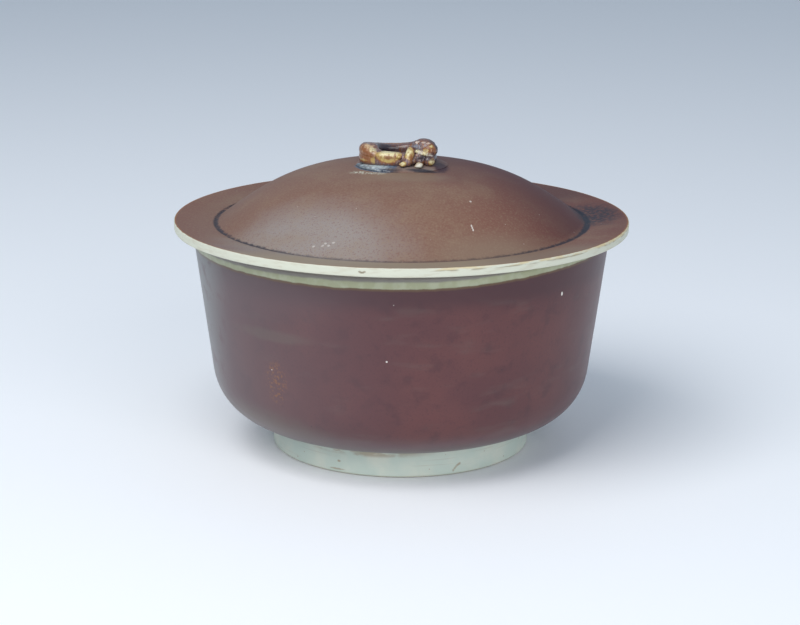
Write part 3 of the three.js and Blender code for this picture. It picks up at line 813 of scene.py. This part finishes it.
def pooled_glaze():
    """Slip under the beast: like the lid on top, blue-white where glaze has pooled, inky at its edges, with
    painted shade towards the back right, in the coil's hollow and round the beast.
    """
    glaze = Finish("pooled_glaze", LID_BROWN)
    grain = glaze.noise(0.75, detail=2)
    clouds = glaze.noise(2.2, shift=3)
    glaze.wash(LID_OLIVE, glaze.fade(grain, 0.5, 0.72), 0.5)
    glaze.wash(LID_RED, glaze.fade(grain, 0.5, 0.3), 0.6)
    glaze.wash(MAUVE, glaze.fade(glaze.radius, 18, 14), glaze.fade(clouds, 0.35, 0.6), 0.7)
    # Purple towards the back right: painted shade, as on the lid.
    glaze.wash(LID_SHADE_PURPLE, glaze.fade(glaze.calc("ADD", glaze.across, glaze.deep), -20, 50), 0.85)
    # Dark in the middle, inside the beast's coil: painted shade in the hollow.
    glaze.wash(INK, glaze.fade(glaze.radius, 9, 5), glaze.fade(clouds, 0.3, 0.5), 0.85)
    glaze.dab(SLIP_GREY, dome_place(5, -13.4), (9, 3.8, 2.4), 0.75, soft=0.8, ragged=0.3, grain=2)
    beast_painted_shade(glaze)
    pool = glaze.spot(POOL_PLACE, POOL_SIZE, soft=0.3, ragged=0.25, grain=2.4)
    glaze.wash(POOL_BLUE, pool, 0.9)
    bright = POOL_PLACE + Vector((-1.6, 0.6, 0.5))
    glaze.dab(POOL_WHITE, bright, POOL_SIZE * 0.72, 0.9, soft=0.9, ragged=0.5, grain=1.8)
    mottle = glaze.fade(glaze.noise(1.6, detail=4, shift=6), 0.5, 0.64)
    glaze.wash(INK, pool, mottle, 0.4)
    rim = glaze.wavering(glaze.radius, clouds, 1.5)
    glaze.wash(INK, pool, glaze.fade(rim, PAD_RADIUS - 1.2, PAD_RADIUS - 0.2), 0.55)
    for across, deep, size in ((-17, -5.4, 2), (-4.6, -16.4, 4)):
        glaze.dab(INK, dome_place(across, deep), (size, 2.4, 2), 0.7, soft=0.9, ragged=0.4, grain=1.6)
    glaze.relief(grain, depth=0.04)
    return glaze.done(dull=0.5, glossy=0.12, pattern=pool)


def coil_outward(angle):
    """Way out of the beast's oval at an angle."""
    turn = math.radians(angle)
    return Vector((math.cos(turn) / COIL_HALF_LENGTH, math.sin(turn) / COIL_HALF_DEPTH)).normalized()


def beside_coil(angle, out, height):
    """Place beside the beast's oval."""
    turn = math.radians(angle)
    outward = coil_outward(angle)
    return Vector((
        COIL_OFFSET + COIL_HALF_LENGTH * math.cos(turn) + outward.x * out,
        COIL_HALF_DEPTH * math.sin(turn) + outward.y * out,
        BEAST_BED + height,
    ))


def coil_facing(angle):
    """Degrees from +X of the way out of the oval at an angle."""
    outward = coil_outward(angle)
    return math.degrees(math.atan2(outward.y, outward.x))


def ways(heading):
    """The ways ahead and to the left of a heading, in degrees from +X."""
    turn = math.radians(heading)
    ahead = Vector((math.cos(turn), math.sin(turn), 0))
    return ahead, Vector((-ahead.y, ahead.x, 0))


def head_place(forward, aside, rise):
    """Place in the beast's head, from the middle of its skull."""
    ahead, side = ways(FACING)
    middle = beside_coil(HEAD_ANGLE, 0, HEAD_HEIGHT)
    return middle + ahead * forward + side * aside + Vector((0, 0, rise))


def bed_place(across, front, height):
    """Place over the beast's bed, a distance in front of the upright."""
    return Vector((across, -front, BEAST_BED + height))


def amber_glaze(name, golds, ambers=(), hearts=(), inks_and_shade=(), touches=()):
    """Glossy mauve glaze that breaks to amber and gold; a patch is a place, half sizes and any colour."""
    glaze = Finish(name, MAUVE)
    grain = glaze.noise(0.35)
    broken = glaze.noise(1.1, detail=5, shift=2)
    glaze.wash(RUST, glaze.fade(broken, 0.5, 0.7), 0.35)
    for place, half_sizes in ambers:
        glaze.dab(AMBER, place, half_sizes, 0.85, soft=0.7, ragged=0.55, grain=1.3)
    streaks = glaze.noise(0.8, stretch=(1, 1, 2.5), detail=4, shift=11)
    glaze.wash(RUST, glaze.fade(streaks, 0.5, 0.62), 0.65)
    glaze.wash(BUFF, glaze.fade(streaks, 0.42, 0.32), 0.4)
    for place, half_sizes in golds:
        away = glaze.reach(place, half_sizes, ragged=1 / max(half_sizes), grain=1.1)
        glaze.wash(AMBER, glaze.fade(away, 1.15, 1.02), 0.8)
        glaze.wash(GOLD, glaze.fade(away, 1.05, 0.9))
        glaze.wash(PALE_GOLD, glaze.fade(away, 0.85, 0.45), 0.85)
    for place, half_sizes in hearts:
        away = glaze.reach(place, half_sizes, ragged=0.6, grain=0.8)
        glaze.wash(AMBER, glaze.fade(away, 1.4, 0.7), 0.8)
        glaze.wash(RUST, glaze.fade(away, 0.8, 0.3), 0.55)
    for place, half_sizes, colour in touches:
        glaze.dab(colour, place, half_sizes, 0.85, soft=0.9, ragged=0.55, grain=0.8)
    glaze.wash(AMBER, glaze.fade(streaks, 0.5, 0.64), 0.55)
    # Dark spots in the mouth, under the jaw, in creases and in the coil's hollow: mostly painted shade,
    # partly dark glaze.
    for place, half_sizes in inks_and_shade:
        glaze.dab(INK, place, half_sizes, 0.72, soft=0.9, ragged=0.4, grain=1.6)
    # Darker where the piece goes into its pad: painted contact shade.
    glaze.wash(INK, glaze.fade(glaze.height, BEAST_BED, BEAST_BED - 1.2), 0.5)
    glaze.relief(broken, depth=0.12)
    glaze.relief(grain, depth=0.03)
    return glaze.done(dull=0.3, glossy=0.16, pattern=broken, coat=0.3)


def body_glaze():
    return amber_glaze(
        "beast_body_glaze",
        ambers=[
            (beside_coil(190, 3.2, 3.4), (2.8, 5.5, 3.4)),
            (beside_coil(212, 3.4, 2), (3.4, 4, 4)),
            (beside_coil(90, 0.5, BACK_HEIGHT), (14, 1.6, 0.7)),
            (beside_coil(150, 0.5, BACK_HEIGHT + 1.2), (4, 4, 0.9)),
        ],
        golds=[(beside_coil(-40, 6.2, 0.6), (1.8, 2.2, 1.5))],
        hearts=[(beside_coil(-36, 6.2, 1.6), (0.9, 1.5, 0.8))],
        # Painted shade in the coil's hollow, low on the right under the head, and under the jaw.
        inks_and_shade=[
            (beside_coil(150, -3, 3), (4.5, 4, 3)),
            (beside_coil(118, -3.2, 2.6), (5, 2.4, 2.6)),
            (beside_coil(-10, 3.6, 1), (2, 4, 2.4)),
            (bed_place(9, 9.6, 2), (3.2, 3, 1.3)),
        ],
        touches=[
            (bed_place(-13.6, 3.4, 5.4), (1.2, 1.8, 1.2), BUFF),
            (bed_place(-12.6, 5, 5), (1.3, 1.8, 1.3), BUFF),
            (bed_place(-11.4, 6.4, 4.4), (1.3, 1.8, 1.4), PALE_GOLD),
            (bed_place(-10.4, 7.8, 3.2), (0.8, 1.6, 1.3), BUFF),
            (bed_place(-11, 9.3, 0.8), (1.3, 2.4, 1.3), GOLD),
            (bed_place(-14.8, 5, 0.4), (1.8, 3, 0.4), GOLD),
        ],
    )


def hind_leg_glaze():
    return amber_glaze(
        "hind_leg_glaze",
        golds=[(bed_place(-5.1, 10, 4.6), (5.6, 5, 4.5))],
        hearts=[(bed_place(-5.4, 11.4, 2.4), (1.7, 2, 0.9)), (bed_place(-2.6, 11, 3), (0.4, 2, 1))],
        # Painted shade on the inner side of the leg, towards the coil's hollow.
        inks_and_shade=[(beside_coil(250, -3, 2), (6, 1.6, 2.4))],
    )


def fore_leg_glaze():
    return amber_glaze(
        "fore_leg_glaze",
        ambers=[(bed_place(3.8, 12, 1.6), (1.6, 2, 1.4))],
        golds=[(bed_place(2.7, 10.4, 3.8), (2, 3.6, 2.8)), (bed_place(0.2, 14, 0.5), (1.5, 1.8, 1))],
        hearts=[(bed_place(3.5, 12, 2.8), (0.8, 1.6, 1.1))],
    )


def far_paw_glaze():
    return amber_glaze(
        "far_paw_glaze",
        golds=[(bed_place(6.7, 13.2, -0.2), (2.2, 2.4, 1.5))],
        touches=[(bed_place(6.7, 13.6, 0), (1.8, 1.8, 1.2), BONE)],
    )


def head_glaze():
    return amber_glaze(
        "beast_head_glaze",
        ambers=[
            (head_place(0.8, 4.4, 0.4), (2.4, 2.4, 1.8)),
            (head_place(-1, 4.6, -1.4), (1.4, 1.4, 1.2)),
        ],
        golds=[
            (head_place(0.8, 4.3, 0.9), (0.9, 1, 0.9)),
            (head_place(2.8, 3.4, -0.3), (1, 1, 1.1)),
        ],
        # Painted shade in the open mouth and under the jaw, and behind the cheek where the head meets the
        # body.
        inks_and_shade=[
            (head_place(3.6, 1, -2.8), (3.2, 3.2, 0.9)),
            (head_place(-2.4, 2.4, 1), (3, 3, 3)),
            (head_place(-3, 3.6, -1), (2, 2.4, 3)),
        ],
        touches=[
            # Bluish grey on the muzzle: painted highlight.
            (head_place(5, 0.2, 0.9), (1.5, 1.5, 1.2), SHEEN_SLATE),
            (head_place(3.7, -0.3, 2.7), (1, 0.9, 0.6), PINK_WHITE),
            (head_place(2.7, 2, 2.7), (0.8, 0.7, 0.5), PINK_WHITE),
            (head_place(1.4, 3.4, 2.3), (0.7, 0.7, 0.5), PINK_WHITE),
            (head_place(4.9, 0.8, -1), (1.3, 1.2, 0.9), PALE_GOLD),
            (head_place(4.2, 2, -1.3), (1.3, 1.3, 0.95), BONE),
            (head_place(3.2, 3.1, -1.7), (1.3, 1.3, 0.95), PALE_GOLD),
            (head_place(1.8, 4.1, -2.3), (1.3, 1.3, 0.95), BONE),
        ],
    )


# Pieces

def along(start, end, step):
    """Angles from start to end, about a step apart."""
    count = round(abs(end - start) / step)
    return [start + (end - start) * i / count for i in range(count + 1)]


def end_round(angle, start, end, reach):
    """Share of its section that a coil part keeps near its ends."""
    inside = min(angle - start, end - angle, reach) / reach
    return math.sqrt(max(1 - (1 - inside) ** 2, END_SECTION))


def coil_lumps(angle, half_width, height):
    """A slice of the coil: a broad foot with two lumps side by side on it."""
    facing = coil_facing(angle)
    lumps = []
    for out, rise, wide, tall in SLICE_LUMPS:
        place = beside_coil(angle, out * half_width, rise * height)
        lumps.append(lump(place, (wide * half_width, SLICE_HALF_LENGTH, tall * height), facing))
    return lumps


def rump_share(angle):
    """How much of the rump's swelling there is at an angle."""
    spread = RUMP_SPREAD if angle < RUMP_ANGLE else RUMP_FALL
    return math.exp(-(((angle - RUMP_ANGLE) / spread) ** 2))


def back_height(angle):
    """Height of the back over its bed, with the rise of the rump and of the neck."""
    neck = math.exp(-(((angle - NECK_ANGLE) / NECK_SPREAD) ** 2))
    return BACK_HEIGHT + RUMP_RISE * rump_share(angle) + NECK_RISE * neck


def beast_body():
    """The coiled back, closed by the chest in front, with a row of small knobs along the spine."""
    belly = lump(beside_coil(279, 0.4, 1.5), (1.8, 2.9, 2.7))
    chest = lump(beside_coil(292, 0.6, 1.2), (3, 3, 2.4))
    lumps = [belly, chest]
    for angle in along(CHEST_ANGLE, FLANK_ANGLE, step=5):
        keep = end_round(angle, CHEST_ANGLE, FLANK_ANGLE, reach=12)
        width = BACK_HALF_WIDTH + RUMP_SWELL * rump_share(angle)
        lumps += coil_lumps(angle, width * keep, back_height(angle) * keep)
    body = pressed("beast_body", lumps, grain=0.3, passes=8)
    shoulder = lump(beside_coil(-40, 4.2, 0.7), (2.1, 2.5, 2.3), coil_facing(-40))
    details = [body, shoulder]
    for angle in along(25, 160, step=5):
        ridge = beside_coil(angle, 0.3, back_height(angle) - 0.35)
        details.append(lump(ridge, (0.6, 0.8, 0.4), coil_facing(angle)))
    body = pressed("beast_body", details, grain=0.2, passes=4)
    uneven(body, depth=0.25, size=3)
    return flattened(body)


def toes(root, heading, spread, size):
    """Three toes side by side at the end of a paw that points to a heading in degrees."""
    side = ways(heading)[1]
    sizes = (1.5 * size, size, size)
    return [lump(root + side * spread * step, sizes, heading) for step in (-1, 0, 1)]


def limb(path, thick, thin):
    """Balls along a path that go from thick to thin."""
    last = len(path) - 1
    radii = [thick + (thin - thick) * i / last for i in range(last + 1)]
    return [lump(place, (radius, radius, radius)) for place, radius in zip(path, radii)]


def hind_leg():
    lumps = []
    for angle in along(HIP_ANGLE, HOCK_ANGLE, step=4):
        share = (angle - HIP_ANGLE) / (HOCK_ANGLE - HIP_ANGLE)
        keep = end_round(angle, HIP_ANGLE, HOCK_ANGLE, reach=11)
        width = THIGH_HALF_WIDTH + (HOCK_HALF_WIDTH - THIGH_HALF_WIDTH) * share
        height = THIGH_HEIGHT + (HOCK_HEIGHT - THIGH_HEIGHT) * share
        lumps += coil_lumps(angle, width * keep, height * keep)
    leg = pressed("hind_leg", lumps, grain=0.3, passes=8)
    root = beside_coil(HOCK_ANGLE - 6, 1.6, 2.6)
    paw = toes(root, heading=coil_facing(HOCK_ANGLE) + 60, spread=0.8, size=0.75)
    leg = pressed("hind_leg", [leg] + paw, grain=0.18, passes=4)
    uneven(leg, depth=0.22, size=2.5)
    return flattened(leg)


def fore_leg():
    shoulder = bed_place(3.7, 8, 4.4)
    elbow = bed_place(3, 11.2, 3.6)
    wrist = bed_place(2.3, 12.2, 0.6)
    pull = 0.67  # how far the curve is drawn towards the elbow
    path = interpolate_bezier(shoulder, shoulder.lerp(elbow, pull), wrist.lerp(elbow, pull), wrist, 12)
    leg = pressed("fore_leg", limb(path, thick=2, thin=1.75), grain=0.3, passes=5)
    paw = lump(bed_place(0.9, 13, 0.1), (1.7, 1.4, 1.2), 25)
    ends = toes(bed_place(0, 13.5, -0.1), heading=205, spread=0.85, size=0.72)
    leg = pressed("fore_leg", [leg, paw] + ends, grain=0.18, passes=3)
    uneven(leg, depth=0.2, size=2.5)
    return flattened(leg)


def far_paw():
    wrist = lump(bed_place(6.9, 11.6, -0.4), (1.6, 2, 1.1))
    ball = lump(bed_place(6.7, 12.6, -0.5), (1.6, 1.5, 1))
    ends = toes(bed_place(6.4, 13.5, -0.7), heading=255, spread=0.9, size=0.65)
    paw = pressed("far_paw", [wrist, ball] + ends, grain=0.16, passes=4)
    uneven(paw, depth=0.15, size=2)
    return flattened(paw)


def head_lump(forward, aside, rise, *half_sizes):
    return lump(head_place(forward, aside, rise), half_sizes, FACING)


def lips(side):
    """Upper lip on one side, from under the nose back and down to the corner of the jaw."""
    balls = []
    for step in range(8):
        share = step / 7
        forward = 4.8 - 4.2 * share ** 1.5
        balls.append(head_lump(forward, side * (0.5 + 4 * share), -0.8 - 1.9 * share, 0.9, 0.9, 0.75))
    return balls


def mane():
    """Soft locks in two rows round the back of the head."""
    locks = []
    for turn in along(75, 285, step=21):
        back = math.cos(math.radians(turn))
        aside = math.sin(math.radians(turn))
        locks.append(head_lump(4 * back, 4.6 * aside, -0.6, 1.2, 1.2, 1.9))
        locks.append(head_lump(3 * back, 3.4 * aside, 1.4, 1.2, 1.2, 1.3))
    return locks


def beast_head():
    skull = head_lump(0, 0, 0, 4.6, 5.2, 3.8)
    muzzle = head_lump(3.6, 0, 0.6, 2, 1.9, 1.5)
    chin = head_lump(2.6, 0, -3.4, 2.4, 2.3, 1)
    lumps = [skull, muzzle, chin]
    for side in (-1, 1):
        cheek = head_lump(1.2, 3.2 * side, -1.4, 2.2, 1.8, 1.6)
        socket = head_lump(0.9, 2.6 * side, 1.3, 2.2, 2.1, 1.5)
        lumps += [cheek, socket]
    head = pressed("beast_head", lumps + mane(), grain=0.25, passes=6)
    nose = head_lump(5.2, 0, 1, 0.8, 1.2, 0.75)
    details = [head, nose]
    for side in (-1, 1):
        details += lips(side)
        nose_wing = head_lump(5.2, 0.95 * side, 0.75, 0.55, 0.55, 0.5)
        eyeball = head_lump(3.5, 1.6 * side, 1.4, 0.75, 0.75, 0.7)
        details += [nose_wing, eyeball]
        for forward, aside, rise in ((3.5, 0.8, 2.35), (2.6, 1.9, 2.4), (1.5, 2.9, 2.3), (0.3, 3.6, 1.9)):
            brow = head_lump(forward, aside * side, rise, 0.9, 0.75, 0.6)
            details.append(brow)
    head = pressed("beast_head", details, grain=0.16, passes=3)
    mouth = head_lump(4.6, 0, -2.35, 2.3, 2.8, 0.6)
    nostrils = [head_lump(5.9, aside, 0.95, 0.35, 0.25, 0.25) for aside in (0.55, -0.55)]
    carved(head, [mouth] + nostrils)
    uneven(head, depth=0.12, size=1.5)
    return flattened(head)


def knob_pad():
    """The pad with a roll of glaze that has run together on its front left."""
    pad = turned("knob_pad_glazed", pad_outline())
    radius = PAD_RADIUS - ROLL_INSET
    height = dome_height(radius) + ROLL_RISE
    rolls = [pad]
    for angle in along(ROLL_BEGIN, ROLL_END, step=4):
        share = (angle - ROLL_BEGIN + ROLL_TAPER) / (ROLL_END - ROLL_BEGIN + 2 * ROLL_TAPER)
        swell = math.sin(math.pi * share) * (0.85 + 0.15 * math.sin(angle / 3))
        turn = math.radians(angle)
        place = Vector((radius * math.cos(turn), radius * math.sin(turn), height))
        rolls.append(lump(place, (1.5 * swell + 0.3, 1.6, 1.1 * swell), angle))
    pad = pressed("knob_pad_glazed", rolls, grain=0.28, passes=5)
    return uneven(pad, depth=0.3, size=4)


def dressed(piece, node, body, finishes, pick=None):
    """Gives a piece its finishes and the body that it rides on, and hides the node of the frame that it
    stands for.
    """
    for finish in finishes:
        piece.data.materials.append(finish)
    if pick:
        for face in piece.data.polygons:
            face.material_index = pick(face)
    piece.data.name = piece.name
    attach(piece, body)
    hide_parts(node)


def bowl_side(face):
    """0 on the outside of the bowl and 1 on its inside and its base."""
    place = face.center / MM
    radius = math.hypot(place.x, place.y)
    inward = face.normal.x * place.x + face.normal.y * place.y < 0
    if place.z > LIP_HEIGHT - lip_round:
        return int(radius < lip_middle)
    if place.z < BOWL_SEAT + BASE_DEPTH:
        return int(radius < FOOT_RADIUS - BASE_INSET)
    return int(inward or radius < FLOOR_RADIUS)


def lid_side(face):
    """0 on the top and the edge of the lid and 1 underneath."""
    place = face.center / MM
    radius = math.hypot(place.x, place.y)
    return int(face.normal.z < 0 and radius < LID_RADIUS - BRIM_ROUND)


def build():
    clay = bare_clay()
    foot = uneven(turned("foot", foot_outline()), depth=0.12, size=14)
    bowl = uneven(turned("bowl", bowl_outline()), depth=0.3, size=38)
    lid = uneven(turned("lid", lid_outline()), depth=0.25, size=45)
    collar = uneven(turned("collar", collar_outline()), depth=0.12, size=14)
    dressed(foot, "foot_ring", "bowl", [clay])
    dressed(bowl, "bowl_body", "bowl", [liver_glaze(), celadon_lining()], bowl_side)
    dressed(lid, "lid_shell", "lid", [lid_glaze(), lid_lining()], lid_side)
    dressed(collar, "lid_collar", "lid", [clay])
    dressed(knob_pad(), "knob_pad", "lid", [pooled_glaze()])
    dressed(beast_body(), "knob_body", "lid", [body_glaze()])
    dressed(hind_leg(), "knob_hind_leg", "lid", [hind_leg_glaze()])
    dressed(fore_leg(), "knob_fore_leg", "lid", [fore_leg_glaze()])
    dressed(far_paw(), "knob_far_paw", "lid", [far_paw_glaze()])
    dressed(beast_head(), "knob_head", "lid", [head_glaze()])


# Stage

FLOOR_SIZE = 12.0  # metres
FLOOR_COLOUR = (248, 249, 251)
SKY_COLOUR = (208, 226, 246)
SKY_STRENGTH = 0.5
KEY_LIGHT = {"way": Vector((-0.4, -0.51, 0.77)), "distance": 1.5, "size": 1.2, "power": 18.5}
FILL_LIGHT = {"way": Vector((0.4, -0.85, 0.3)), "distance": 1.8, "size": 1.2, "power": 11.0}
EYE_PLACE = (-0.0004, -0.8202, 0.268)
EYE_PITCH = math.radians(75.28)
EYE_ROLL = math.radians(0.3)
EYE_LENS = 94.5
EYE_SENSOR = 36


def floor():
    deselect()
    bpy.ops.mesh.primitive_plane_add(size=FLOOR_SIZE)
    plane = bpy.context.object
    plane.name = "floor"
    paper = Finish("pale_floor", FLOOR_COLOUR)
    plane.data.materials.append(paper.done(dull=0.6, glossy=0.55, pattern=paper.noise(200), shine=0.2))


def soft_light(name, way, distance, size, power):
    """A square lamp at a distance along a way from the middle of the lip, aimed back at it."""
    middle = Vector((0, 0, LIP_HEIGHT * MM))
    bpy.ops.object.light_add(type="AREA", location=middle + way.normalized() * distance)
    lamp = bpy.context.object
    lamp.name = name
    lamp.data.size = size
    lamp.data.energy = power
    lamp.rotation_euler = (-way).to_track_quat("-Z", "Y").to_euler()


def sky():
    world = bpy.data.worlds.new("pale_sky")
    bpy.context.scene.world = world
    world.use_nodes = True
    shade = world.node_tree.nodes["Background"]
    shade.inputs["Color"].default_value = linear(SKY_COLOUR)
    shade.inputs["Strength"].default_value = SKY_STRENGTH


def camera():
    aim = Matrix.Rotation(EYE_PITCH, 3, "X") @ Matrix.Rotation(EYE_ROLL, 3, "Z")
    bpy.ops.object.camera_add(location=EYE_PLACE, rotation=aim.to_euler())
    eye = bpy.context.object
    eye.data.lens = EYE_LENS
    eye.data.sensor_width = EYE_SENSOR
    eye.data.sensor_fit = "HORIZONTAL"
    bpy.context.scene.camera = eye


build()
floor()
sky()
soft_light("key_light", **KEY_LIGHT)
soft_light("fill_light", **FILL_LIGHT)
camera()
bpy.context.scene.view_settings.view_transform = "Standard"
